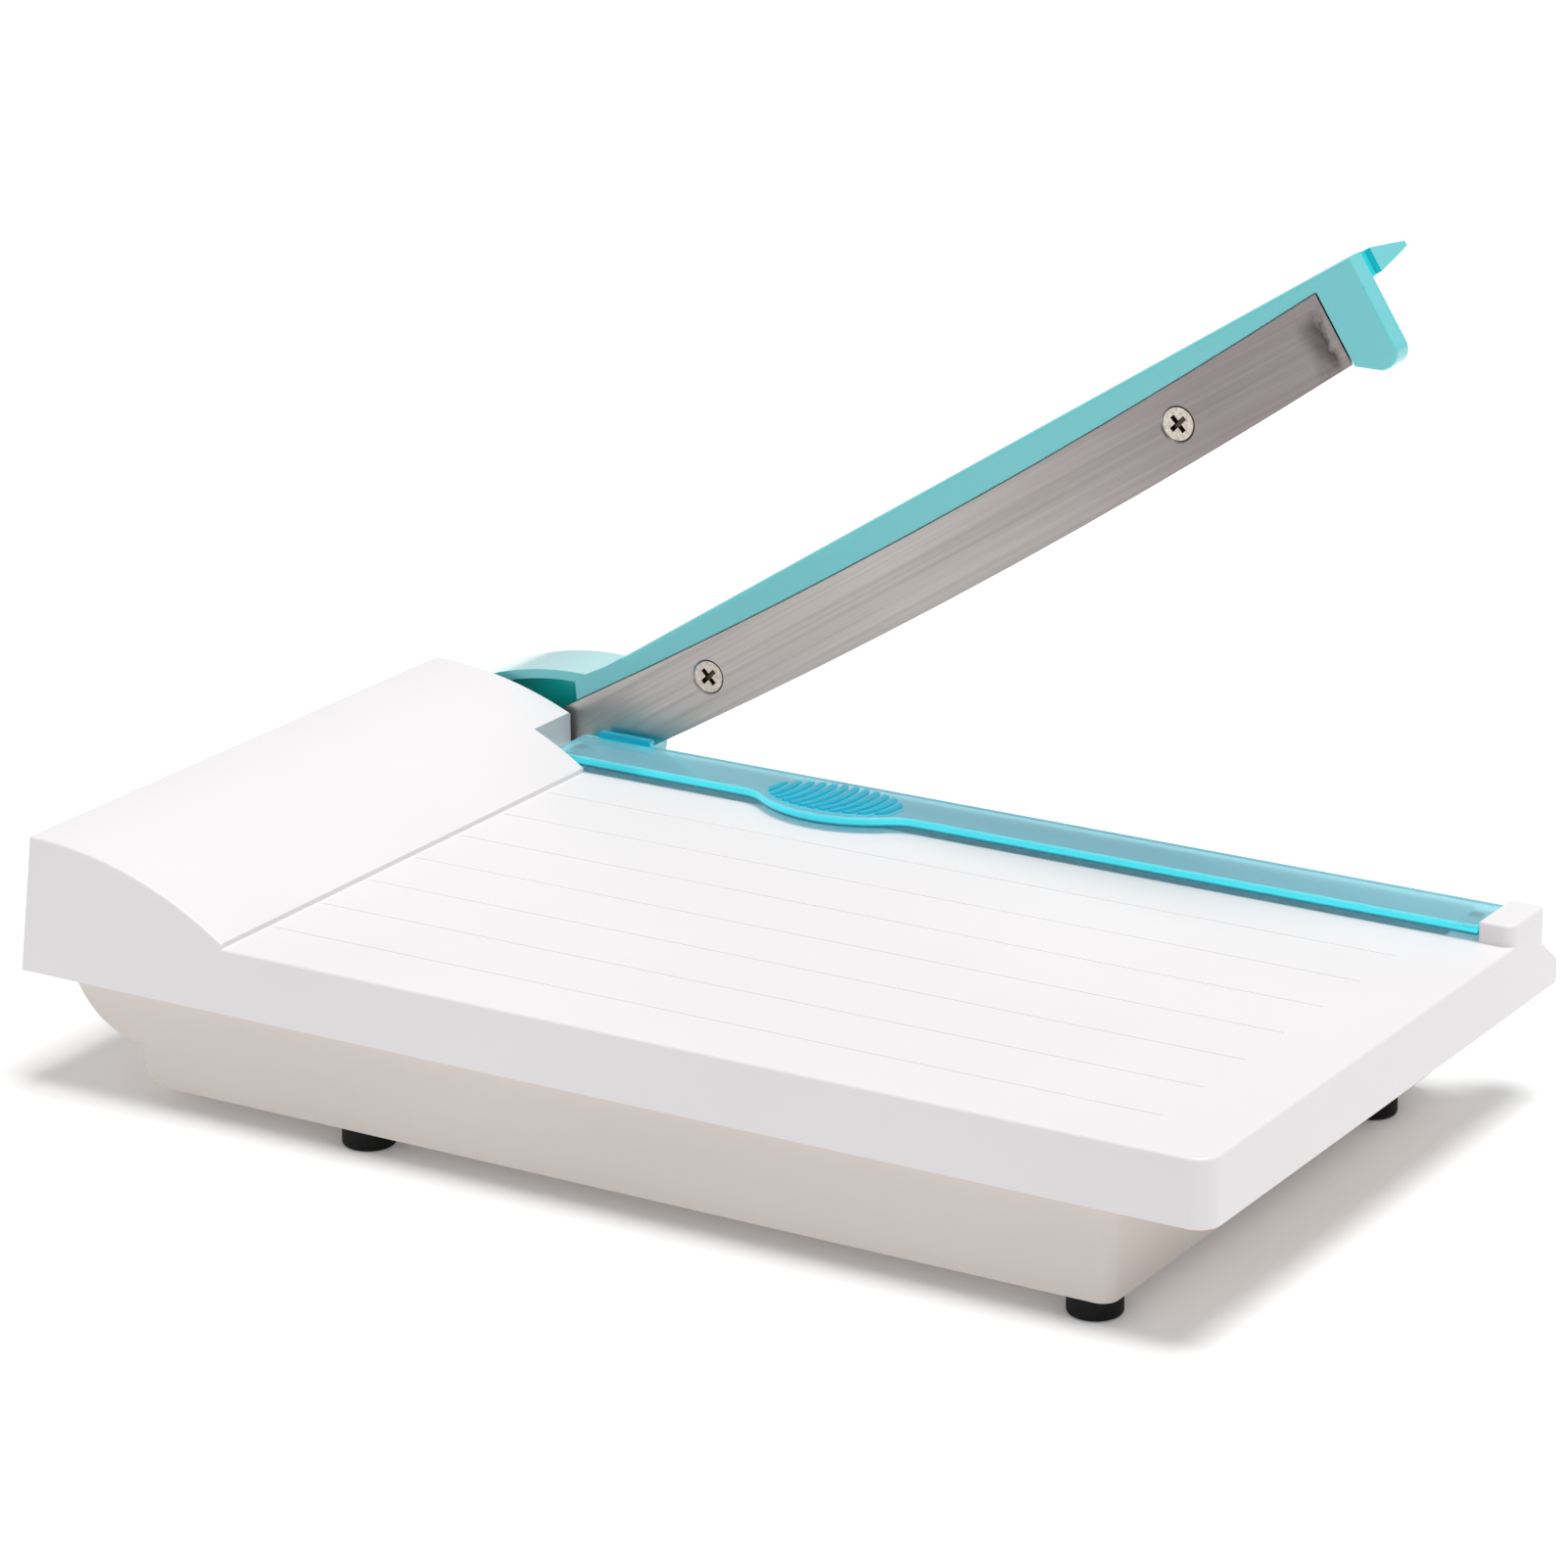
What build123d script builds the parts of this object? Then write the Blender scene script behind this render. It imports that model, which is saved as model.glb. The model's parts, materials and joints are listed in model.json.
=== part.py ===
from build123d import *
import math
import os

# Lever-arm paper trimmer: a white table with a raised hump at its left end, a thin tray below
# it on four rubber feet, a fixed steel edge along the back, a translucent clamp strip over that
# edge, and a teal lever with a bowed blade that swings about a bolt behind the hump.
#
# Millimetres. While the pieces are made, x runs from the base's left end, y from its front edge
# and z up from the surface that the feet stand on. The lever is shown raised. At export
# everything moves so that the origin is under the middle of the whole object.

# ---- Base ----------------------------------------------------------------------------------
BASE_LEFT = -0.8
BASE_RIGHT = 323.0
BASE_DEPTH = 176.5
LIP_BOTTOM = 29.0
TABLE_TOP = 45.2
HUMP_TOP = 63.4
HUMP_WIDTH = 59.8
HUMP_RADIUS = 105.0
HUMP_CREST_X = 2.6
HUMP_LEAN = 3.2
END_LEAN = 0.7
FRONT_LEAN = 1.4
BACK_LEAN = 0.8
WALL = 2.6
RIGHT_CORNER = 5.5
LEFT_CORNER = 1.2
SOFT_EDGE = 0.8
NOTCH_X = 44.7
NOTCH_Y = 158.8

# ---- Table detail --------------------------------------------------------------------------
GROOVE_PITCH = 20.0
GROOVE_FIRST_Y = 19.9
GROOVE_COUNT = 7
GROOVE_LEFT = 61.0
GROOVE_RIGHT = 301.0
GROOVE_WIDTH = 0.8
GROOVE_DEPTH = 0.1
BLOCK_LEFT = 313.3
BLOCK_HEIGHT = 5.5
BLOCK_BACK = BASE_DEPTH + 0.7
BLOCK_CORNERS = (1.0, 3.0)
BLOCK_EDGE = 0.95
TABLE_RIB_X = (100.0, 140.0, 220.0, 300.0)

# ---- Handle rest, behind the cutting line at the right end -----------------------------------
REST_LEFT = 305.0
REST_WALL_LEFT = 318.2
REST_DEPTH = 187.6
REST_CORNER = 4.0
REST_FLOOR = LIP_BOTTOM + 9.3
REST_WALL_TOP = LIP_BOTTOM + 12.0

# ---- Tray and feet -------------------------------------------------------------------------
TRAY_BOTTOM = 5.0
TRAY_WALL = 2.2
TRAY_FRONT = 3.1
TRAY_RIGHT = 298.0
TRAY_LEAN = 0.6
TRAY_CORNER = 4.0
TRAY_GAP = 0.3
FLANGE_THICKNESS = 2.0
UPPER_NOSE = (34.8, LIP_BOTTOM + 8.8, 22.8)
LOWER_NOSE = (39.4, LIP_BOTTOM - 18.2, 5.8)
FOOT_RADIUS = 6.5
FOOT_HEIGHT = TRAY_BOTTOM
FOOT_X = (95.0, 290.5)
FOOT_Y = (9.9, 151.0)
CASING_SCREWS = [(x, y) for x in (66.0, 180.0, 272.0) for y in (26.0, 146.0)]

# ---- Cutting line --------------------------------------------------------------------------
CUT_PLANE = 177.5
FIXED_BLADE_LEFT = 58.0
FIXED_BLADE_RIGHT = 304.3
FIXED_BLADE_FRONT = 159.8
BLADE_THICKNESS = 1.5
BLADE_CLEARANCE = 0.25
FIXED_BLADE_SCREW_X = (75.0, 148.0, 221.0, 293.0)
FIXED_BLADE_SCREW_Y = 168.0

# ---- Clamp strip ---------------------------------------------------------------------------
STRIP_LEFT = 49.4
STRIP_RIGHT = 313.0
STRIP_FRONT = 159.1
STRIP_BACK = 176.0
STRIP_GAP = 1.6
STRIP_THICKNESS = 2.6
STRIP_BOTTOM = TABLE_TOP + STRIP_GAP
STRIP_TOP = STRIP_BOTTOM + STRIP_THICKNESS
PAD_X = 133.7
PAD_REACH = 8.9
PAD_HALF_WIDTH = 25.5
PAD_RADIUS = 30.0
PAD_OVAL = (19.0, 9.6)
PAD_OVAL_Y = 162.2
PAD_RIBS = 12
RIM_LEFT = 55.0
RIM_RIGHT = 70.7
RIM_HEIGHT = 2.0
POST_X = (53.4, 308.7)
POST_Y = 168.0
POST_RADIUS = 2.0
SPRING_POCKET = (3.8, TABLE_TOP - 8.5)
POST_BOSS_BOTTOM = TABLE_TOP - 12.0

# ---- Lever ---------------------------------------------------------------------------------
# The lever is drawn flat, with its pivot at the origin, X along it and Z across it, then turned
# up by LEVER_ANGLE and moved to the pivot. Its y values are those of the base.
PIVOT_X = 30.7
PIVOT_Z = LIP_BOTTOM + 5.8
LEVER_ANGLE = 32.6
LEVER_FRONT = 177.9
LEVER_PLATE = 4.4
LEVER_BACK = 197.9
LEVER_TOP = 15.2
LEVER_END = 287.6
LEVER_FOOT = -13.0
PLATE_BACK = LEVER_FRONT + LEVER_PLATE
END_BLOCK_BACK = LEVER_FRONT + 6.4
WING_ROOT_Y = LEVER_FRONT + 11.6
WING_TIP_Y = LEVER_FRONT + 29.2
END_GROOVE_DEPTH = 1.6
HUB_WALL = (LEVER_FRONT + 5.0, LEVER_FRONT + 8.0)
HUB_RIM = 2.5
HUB_STEP = ((24.9, 11.4), (29.0, 19.3), (60.0, 19.3), (60.0, -30.0), (14.0, -30.0), (20.0, 4.0))
HUB_END_S = 29.0
GUSSET_S = (110.0, 170.0, 262.0)
GUSSET_THICKNESS = 1.8
TOTAL_DEPTH = WING_TIP_Y

# ---- Moving blade --------------------------------------------------------------------------
BLADE_WIDTH = 19.0
BLADE_BOW_RADIUS = 2059.5
BLADE_BOW_S = 147.0
BLADE_BOW_N = -2.3
BLADE_LEFT = -12.0
BLADE_RIGHT = 275.2
BLADE_FRONT = CUT_PLANE + BLADE_CLEARANCE
BLADE_BACK = BLADE_FRONT + BLADE_THICKNESS
BLADE_GAP = 0.4
BLADE_SCREWS = ((65.9, 0.0), (225.2, -0.4))
SCREW_SINK = 0.32

# ---- Pivot stack, along y --------------------------------------------------------------------
BOLT_RADIUS = 3.0
BRACKET = (171.2, 173.2)
BRACKET_X = (14.0, 41.0)
BRACKET_SHELF = PIVOT_Z + 11.3
BRACKET_SCREW_X = (20.0, 37.0)
BRACKET_SCREW_Y = 162.0
PIVOT_PAD_FACE = BASE_DEPTH - 0.15
BUSH_END = 188.2
BOLT_END = 196.0
NUT_ACROSS_FLATS = 10.0
NUT_START = BUSH_END + 2.6
CAP_RADIUS = 11.8

# ---- Small screws that hold the casing, feet, fixed blade and bracket -----------------------
THREAD = 1.5
THREAD_HOLE = 1.52
SCREW_HEAD = (2.8, 1.9)
HEAD_HOLE = 3.3


def y_slab(outline, y_low, y_high):
    """Extrude an outline drawn in X-Z from y_low to y_high."""
    return extrude(Plane.XZ.offset(-y_high) * outline, amount=y_high - y_low)


def x_slab(outline, x_low, x_high):
    """Extrude an outline drawn in Y-Z from x_low to x_high."""
    return extrude(Plane.YZ.offset(x_low) * outline, amount=x_high - x_low)


def z_slab(outline, z_low, z_high):
    """Extrude an outline drawn in X-Y from z_low to z_high."""
    return extrude(Plane.XY.offset(z_low) * outline, amount=z_high - z_low)


def block(low, high):
    """An upright box between two corners."""
    size = [b - a for a, b in zip(low, high)]
    middle = [(a + b) / 2 for a, b in zip(low, high)]
    return Pos(*middle) * Box(*size)


def rod_z(x, y, radius, z_low, z_high):
    """A round bar along Z."""
    return Pos(x, y, (z_low + z_high) / 2) * Cylinder(radius, z_high - z_low)


def rod_y(x, z, radius, y_low, y_high):
    """A round bar along Y."""
    return Pos(x, (y_low + y_high) / 2, z) * Rot(90, 0, 0) * Cylinder(radius, y_high - y_low)


def hex_y(x, z, across_flats, y_low, y_high):
    """A hexagonal bar along Y."""
    outline = Pos(x, z) * RegularPolygon(across_flats / 2, 6, major_radius=False)
    return y_slab(outline, y_low, y_high)


def polygon(*points):
    return make_face(Polyline(*points, close=True))


def pan_screw(thread_radius, length, head_radius, head_height):
    """A cross-recess pan-head screw: shank down -Z from the origin, domed head above it."""
    dome = RadiusArc((head_radius, 0.45 * head_height), (0, head_height), -2.2 * head_radius)
    half = Polyline((0, 0), (head_radius, 0), (head_radius, 0.45 * head_height))
    head = revolve(Plane.XZ * make_face([half, dome, Line((0, head_height), (0, 0))]), Axis.Z)
    shank = rod_z(0, 0, thread_radius, -length, 0.01)
    tip = chamfer(shank.edges().group_by(Axis.Z)[0], 0.3 * thread_radius)
    return head + tip - cross_recess(head_radius, head_height)


def cross_recess(head_radius, head_height):
    """The cutter for a cross recess in the top of a screw head."""
    arm = 1.1 * head_radius
    slot = 0.28 * head_radius
    depth = 0.62 * head_height
    bar = Pos(0, 0, head_height - depth / 2 + 0.2) * Box(arm, slot, depth + 0.4)
    return bar + Rot(0, 0, 90) * bar


# ---- Casing --------------------------------------------------------------------------------
def hump_height(x, radius):
    """Height of the hump's cylindrical top at x."""
    return HUMP_TOP - HUMP_RADIUS + math.sqrt(radius**2 - (x - HUMP_CREST_X) ** 2)


def side_walls(inset, low):
    """Y-Z section that gives the long walls their lean."""
    over = HUMP_TOP + 1
    return polygon(
        (inset, low),
        (inset + FRONT_LEAN, over),
        (BASE_DEPTH - BACK_LEAN - inset, over),
        (BASE_DEPTH - inset, low),
    )


def table_body(inset, low):
    """The flat table, starting inside the hump, every face moved in by inset."""
    ceiling = TABLE_TOP - inset
    right_top = (BASE_RIGHT - END_LEAN - inset, ceiling)
    outline = polygon((20, low), (BASE_RIGHT - inset, low), right_top, (20, ceiling))
    body = y_slab(outline, -1, BASE_DEPTH + 1)
    return body & x_slab(side_walls(inset, low), BASE_LEFT - 1, BASE_RIGHT + 1)


def hump_body(inset, low):
    """The raised left end with its cylindrical top, every face moved in by inset."""
    radius = HUMP_RADIUS - inset
    left = BASE_LEFT + HUMP_LEAN + inset
    joint = HUMP_WIDTH
    if inset > 0:
        drop = TABLE_TOP - inset - HUMP_TOP + HUMP_RADIUS
        joint = HUMP_CREST_X + math.sqrt(radius**2 - drop**2)
    middle = joint / 2
    crest = ThreePointArc(*[(x, hump_height(x, radius)) for x in (left, middle, joint)])
    sides = Polyline(crest @ 1, (joint, low), (BASE_LEFT + inset, low), crest @ 0)
    body = y_slab(make_face([crest, sides]), -1, BASE_DEPTH + 1)
    return body & x_slab(side_walls(inset, low), BASE_LEFT - 1, BASE_RIGHT + 1)


def upright_edges(body, low_x, high_x):
    """The near-vertical edges of a body between two x values."""
    tall = [e for e in body.edges() if abs((e % 0.5).Z) > 0.95]
    return [e for e in tall if low_x < e.center().X < high_x]


def outer_table():
    body = table_body(0, LIP_BOTTOM)
    corners = sorted(upright_edges(body, BASE_RIGHT - 4, BASE_RIGHT + 1), key=lambda e: e.center().Y)
    body = fillet([corners[0]], RIGHT_CORNER)
    top = body.faces().sort_by(Axis.Z)[-1]
    rims = [e for e in top.edges() if e.center().X > 21]
    return fillet(rims, SOFT_EDGE)


def outer_hump():
    body = hump_body(0, LIP_BOTTOM)
    body = fillet(upright_edges(body, BASE_LEFT - 1, 4), LEFT_CORNER)
    top = body.faces().filter_by(GeomType.CYLINDER).sort_by(SortBy.AREA)[-1]
    rims = [e for e in top.edges() if e.center().X < HUMP_WIDTH - 1]
    body = fillet(rims, SOFT_EDGE)
    low = (NOTCH_X, NOTCH_Y, LIP_BOTTOM - 1)
    return body - block(low, (HUMP_WIDTH + 2, BASE_DEPTH + 2, HUMP_TOP))


def handle_rest():
    """Ledge that the lever's end comes down on, closed by a bulging wall at the right."""
    deep = BASE_DEPTH - 2.4
    wall = polygon(
        (deep, LIP_BOTTOM),
        (REST_DEPTH - 3.6, LIP_BOTTOM),
        (REST_DEPTH - 1.6, LIP_BOTTOM + 0.4),
        (REST_DEPTH - 0.3, LIP_BOTTOM + 1.4),
        (REST_DEPTH, LIP_BOTTOM + 2.6),
        (REST_DEPTH - 0.5, LIP_BOTTOM + 3.9),
        (REST_DEPTH - 1.6, LIP_BOTTOM + 5.0),
        (BLOCK_BACK + 0.4, REST_WALL_TOP - 0.8),
        (BLOCK_BACK, REST_WALL_TOP),
        (deep, REST_WALL_TOP),
    )
    body = x_slab(wall, REST_LEFT, BASE_RIGHT + 1)
    right_top = (BASE_RIGHT - END_LEAN, TABLE_TOP)
    leaning = polygon((REST_LEFT, LIP_BOTTOM), (BASE_RIGHT, LIP_BOTTOM), right_top, (REST_LEFT, TABLE_TOP))
    body = body & y_slab(leaning, deep - 1, REST_DEPTH + 1)
    over = (REST_WALL_LEFT, REST_DEPTH + 1, TABLE_TOP)
    body -= block((REST_LEFT - 1, BASE_DEPTH - 0.2, REST_FLOOR), over)
    width = BASE_RIGHT - REST_LEFT
    plan = Pos(REST_LEFT + width / 2, REST_DEPTH - 15) * RectangleRounded(width, 30, REST_CORNER)
    return body & z_slab(plan, 0, TABLE_TOP)


def strip_stop():
    """The block beyond the clamp strip's right end."""
    body = block(
        (BLOCK_LEFT, NOTCH_Y, REST_WALL_TOP - 4),
        (BASE_RIGHT - END_LEAN, BLOCK_BACK, TABLE_TOP + BLOCK_HEIGHT),
    )
    small, large = BLOCK_CORNERS
    posts = body.edges().filter_by(Axis.Z)
    front_right = [e for e in posts if e.center().X > BLOCK_LEFT + 1 and e.center().Y < BASE_DEPTH - 1]
    body = fillet(front_right, large)
    posts = body.edges().filter_by(Axis.Z)
    body = fillet([e for e in posts if e.center().X < BLOCK_LEFT + 1 or e.center().Y > BASE_DEPTH], small)
    return fillet(body.edges().group_by(Axis.Z)[-1], BLOCK_EDGE)


def inner_hump():
    """The hollow under the hump, which leaves walls round the notch."""
    body = hump_body(WALL, LIP_BOTTOM - 1)
    low = (NOTCH_X - WALL, NOTCH_Y - WALL, TABLE_TOP - WALL)
    return body - block(low, (HUMP_WIDTH + 2, BASE_DEPTH, HUMP_TOP))


def top_casing():
    body = outer_table() + outer_hump() + strip_stop() + handle_rest()
    body -= table_body(WALL, LIP_BOTTOM - 1) + inner_hump()
    body += casing_inside()
    body -= casing_cutters()
    return body


def casing_inside():
    """Bosses, ribs and seats under the table and the hump."""
    inside = block(
        (NOTCH_X + 2, FIXED_BLADE_FRONT - 3, TABLE_TOP - 6.0),
        (BLOCK_LEFT, BASE_DEPTH - 1.5, TABLE_TOP - 1.0),
    )
    for x, y in CASING_SCREWS:
        inside += rod_z(x, y, 3.5, TRAY_BOTTOM + TRAY_WALL + 2.1, TABLE_TOP - 1)
    for x in POST_X:
        inside += rod_z(x, POST_Y, 5.4, POST_BOSS_BOTTOM, TABLE_TOP - 1)
    for x in FIXED_BLADE_SCREW_X:
        inside += rod_z(x, FIXED_BLADE_SCREW_Y, 4.0, TABLE_TOP - 8.0, TABLE_TOP - 1)
    for x in TABLE_RIB_X:
        inside += block((x, WALL - 1, TABLE_TOP - 8.5), (x + 1.4, FIXED_BLADE_FRONT, TABLE_TOP - 1))
    inside += rod_y(PIVOT_X, PIVOT_Z + 2.2, 5.5, BRACKET[1], BASE_DEPTH - 1)
    for x in BRACKET_SCREW_X:
        inside += rod_z(x, BRACKET_SCREW_Y, 3.4, BRACKET_SHELF + 2.1, hump_height(x, HUMP_RADIUS) - 1.2)
    return inside


def casing_cutters():
    """Everything cut from the casing after its shell is made."""
    seat = block(
        (FIXED_BLADE_LEFT - 0.1, FIXED_BLADE_FRONT - 0.1, TABLE_TOP - BLADE_THICKNESS),
        (FIXED_BLADE_RIGHT + 0.1, 190, TABLE_TOP + 1),
    )
    cutters = seat
    for i in range(GROOVE_COUNT):
        y = GROOVE_FIRST_Y + i * GROOVE_PITCH
        cutters += block(
            (GROOVE_LEFT, y - GROOVE_WIDTH / 2, TABLE_TOP - GROOVE_DEPTH),
            (GROOVE_RIGHT, y + GROOVE_WIDTH / 2, TABLE_TOP + 1),
        )
    for x, y in CASING_SCREWS:
        cutters += rod_z(x, y, THREAD_HOLE, 0, 24.0)
    for x in POST_X:
        cutters += rod_z(x, POST_Y, SPRING_POCKET[0], SPRING_POCKET[1], TABLE_TOP + 1)
        cutters += rod_z(x, POST_Y, POST_RADIUS + 0.08, 20, TABLE_TOP)
    for x in FIXED_BLADE_SCREW_X:
        cutters += rod_z(x, FIXED_BLADE_SCREW_Y, 1.6, 20, TABLE_TOP)
        cutters += rod_z(x, FIXED_BLADE_SCREW_Y, 3.1, 20, TABLE_TOP - 6.2)
    for x in BRACKET_SCREW_X:
        cutters += rod_z(x, BRACKET_SCREW_Y, THREAD_HOLE, LIP_BOTTOM, BRACKET_SHELF + 7.7)
    cutters += rod_y(PIVOT_X, PIVOT_Z, BOLT_RADIUS + 0.1, 170, 190)
    cutters += rod_y(PIVOT_X, PIVOT_Z, 7.4, PIVOT_PAD_FACE, 190)
    return cutters


# ---- Tray ----------------------------------------------------------------------------------
def nose_arc(nose, inset, start_angle, end_angle):
    """Part of one of the two rounded steps at the tray's left end."""
    x, z, radius = nose
    radius -= inset
    angles = (start_angle, (start_angle + end_angle) / 2, end_angle)
    spots = [
        (x + radius * math.cos(math.radians(a)), z + radius * math.sin(math.radians(a)))
        for a in angles
    ]
    return ThreePointArc(*spots)


def tub_profile(inset, top):
    """X-Z outline of the tub: two rounded steps at the left, one leaning wall at the right."""
    upper_x, upper_z, upper_radius = UPPER_NOSE
    lower_x, lower_z, lower_radius = LOWER_NOSE
    top_gap = (upper_z - LIP_BOTTOM) / (upper_radius - inset)
    upper = nose_arc(UPPER_NOSE, inset, 180 + math.degrees(math.asin(top_gap)), 266)
    lower = nose_arc(LOWER_NOSE, inset, 176, 270)
    floor = TRAY_BOTTOM + inset
    outline = Polyline(
        lower @ 1,
        (TRAY_RIGHT - TRAY_LEAN - inset, floor),
        (TRAY_RIGHT - inset, top),
        ((upper @ 0).X, top),
        upper @ 0,
    )
    return make_face([upper, Line(upper @ 1, lower @ 0), lower, outline])


def tub_body(inset, top):
    profile = y_slab(tub_profile(inset, top), 0, BASE_DEPTH)
    front = TRAY_FRONT + inset
    back = BASE_DEPTH - TRAY_FRONT - inset
    section = polygon(
        (front, top),
        (front + TRAY_LEAN, TRAY_BOTTOM - 1),
        (back - TRAY_LEAN, TRAY_BOTTOM - 1),
        (back, top),
    )
    return profile & x_slab(section, BASE_LEFT, BASE_RIGHT)


def bottom_tray():
    flange_top = LIP_BOTTOM + TRAY_GAP + FLANGE_THICKNESS
    outer = tub_body(0, flange_top)
    outer = fillet(upright_edges(outer, TRAY_RIGHT - 2, TRAY_RIGHT + 1), TRAY_CORNER)
    edge = WALL + TRAY_GAP
    sheet = Pos((BASE_LEFT + BASE_RIGHT) / 2, BASE_DEPTH / 2) * RectangleRounded(
        BASE_RIGHT - BASE_LEFT - 2 * edge, BASE_DEPTH - 2 * edge, RIGHT_CORNER - WALL
    )
    body = outer + z_slab(sheet, LIP_BOTTOM + TRAY_GAP, flange_top)
    body -= tub_body(TRAY_WALL, flange_top + 1)
    floor = TRAY_BOTTOM + TRAY_WALL
    for x, y in CASING_SCREWS:
        body += rod_z(x, y, 5.6, floor - 0.5, floor + 2.0)
    for x in FOOT_X:
        for y in FOOT_Y:
            body += rod_z(x, y, 3.6, floor - 0.5, floor + 8.0)
    for x in (100.0, 220.0):
        body += block((x, TRAY_FRONT + 1.5, floor - 0.5), (x + 1.5, BASE_DEPTH - 4.5, floor + 5))
    body -= block((PIVOT_X - 8, 165, LIP_BOTTOM - 2), (PIVOT_X + 8, 172.4, flange_top + 1))
    for x in POST_X:
        body -= rod_z(x, POST_Y, 5.0, LIP_BOTTOM - 1, flange_top + 1)
    for x, y in CASING_SCREWS:
        body -= rod_z(x, y, HEAD_HOLE, 0, TRAY_BOTTOM + 2.2)
        body -= rod_z(x, y, 1.7, 0, 20)
    for x in FOOT_X:
        for y in FOOT_Y:
            body -= rod_z(x, y, THREAD_HOLE, 0, floor + 6.5)
    return body


def foot(x, y):
    disc = rod_z(x, y, FOOT_RADIUS, 0, FOOT_HEIGHT)
    disc = fillet(disc.edges().group_by(Axis.Z)[0], 1.0)
    disc = chamfer(disc.edges().group_by(Axis.Z)[-1], 0.3)
    disc -= rod_z(x, y, 3.4, -1, 2.6)
    return disc - rod_z(x, y, 1.6, -1, 10)


def foot_screws():
    screw = pan_screw(THREAD, 8.6, *SCREW_HEAD)
    return [Pos(x, y, 2.6) * Rot(180, 0, 0) * screw for x in FOOT_X for y in FOOT_Y]


def casing_screws():
    screw = pan_screw(THREAD, 14.0, *SCREW_HEAD)
    return [Pos(x, y, TRAY_BOTTOM + 2.2) * Rot(180, 0, 0) * screw for x, y in CASING_SCREWS]


# ---- Fixed blade ---------------------------------------------------------------------------
def fixed_blade():
    bar = block(
        (FIXED_BLADE_LEFT, FIXED_BLADE_FRONT, TABLE_TOP - BLADE_THICKNESS),
        (FIXED_BLADE_RIGHT, CUT_PLANE, TABLE_TOP),
    )
    low_back = bar.edges().filter_by(Axis.X).sort_by(Axis.Z)[:2].sort_by(Axis.Y)[-1]
    bar = chamfer([low_back], 0.5)
    for x in FIXED_BLADE_SCREW_X:
        bar -= rod_z(x, FIXED_BLADE_SCREW_Y, THREAD_HOLE, 0, TABLE_TOP - 0.25)
    return bar


def fixed_blade_screws():
    screw = pan_screw(THREAD, 7.3, *SCREW_HEAD)
    seat = TABLE_TOP - 7.8
    return [Pos(x, FIXED_BLADE_SCREW_Y, seat) * Rot(180, 0, 0) * screw for x in FIXED_BLADE_SCREW_X]


# ---- Clamp strip ---------------------------------------------------------------------------
def strip_outline():
    """Plan of the strip, with its front edge swelling into the thumb pad."""
    turn = 2 * math.atan(PAD_REACH / PAD_HALF_WIDTH)
    hollow_radius = PAD_HALF_WIDTH / math.sin(turn) - PAD_RADIUS
    swell_x = PAD_RADIUS * math.sin(turn)
    swell_y = STRIP_FRONT - hollow_radius * (1 - math.cos(turn))
    half_turn = turn / 2
    edges = []
    for side in (-1, 1):
        start = (PAD_X + side * PAD_HALF_WIDTH, STRIP_FRONT)
        middle = (
            PAD_X + side * (PAD_HALF_WIDTH - hollow_radius * math.sin(half_turn)),
            STRIP_FRONT - hollow_radius * (1 - math.cos(half_turn)),
        )
        edges.append(ThreePointArc(start, middle, (PAD_X + side * swell_x, swell_y)))
    edges.append(ThreePointArc(edges[0] @ 1, (PAD_X, STRIP_FRONT - PAD_REACH), edges[1] @ 1))
    edges.append(
        Polyline(
            edges[0] @ 0,
            (STRIP_LEFT, STRIP_FRONT),
            (STRIP_LEFT, STRIP_BACK),
            (STRIP_RIGHT, STRIP_BACK),
            (STRIP_RIGHT, STRIP_FRONT),
            edges[1] @ 0,
        )
    )
    return make_face(edges)


def pad_ribs():
    """Low curved ribs across the oval thumb pad."""
    half_x, half_y = PAD_OVAL
    oval = Pos(PAD_X, PAD_OVAL_Y) * Ellipse(half_x, half_y)
    ribs = None
    step = 2 * half_x / PAD_RIBS
    bend = 26.0
    for i in range(PAD_RIBS):
        x = PAD_X - half_x + (i + 0.5) * step
        ring = Circle(bend + 0.8) - Circle(bend - 0.8)
        bar = (Pos(x - bend, PAD_OVAL_Y + 3) * ring) & (Pos(x, PAD_OVAL_Y) * Rectangle(14, 30))
        rib = z_slab(bar & oval, STRIP_TOP - 0.1, STRIP_TOP + 0.8)
        ribs = rib if ribs is None else ribs + rib
    return ribs


def clamp_strip():
    body = z_slab(strip_outline(), STRIP_BOTTOM, STRIP_TOP)
    body = fillet(body.edges().group_by(Axis.Z)[-1], 0.5)
    low = (RIM_LEFT, STRIP_BACK - 2.0, STRIP_TOP - 1.2)
    rim = block(low, (RIM_RIGHT, STRIP_BACK - 0.1, STRIP_TOP + RIM_HEIGHT))
    rim = fillet(rim.edges().group_by(Axis.Z)[-1], 0.4)
    body += rim
    body += pad_ribs()
    for x in POST_X:
        body += rod_z(x, POST_Y, POST_RADIUS, POST_BOSS_BOTTOM - 0.1, STRIP_BOTTOM + 0.5)
        body -= rod_z(x, POST_Y, 1.02, POST_BOSS_BOTTOM - 1, POST_BOSS_BOTTOM + 6)
    return body


def clamp_washers():
    top = POST_BOSS_BOTTOM - 0.1
    return [rod_z(x, POST_Y, 3.6, top - 0.8, top) - rod_z(x, POST_Y, 1.05, 0, 60) for x in POST_X]


def clamp_screws():
    screw = pan_screw(1.0, 5.5, 1.9, 1.3)
    seat = POST_BOSS_BOTTOM - 0.9
    return [Pos(x, POST_Y, seat) * Rot(180, 0, 0) * screw for x in POST_X]


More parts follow.
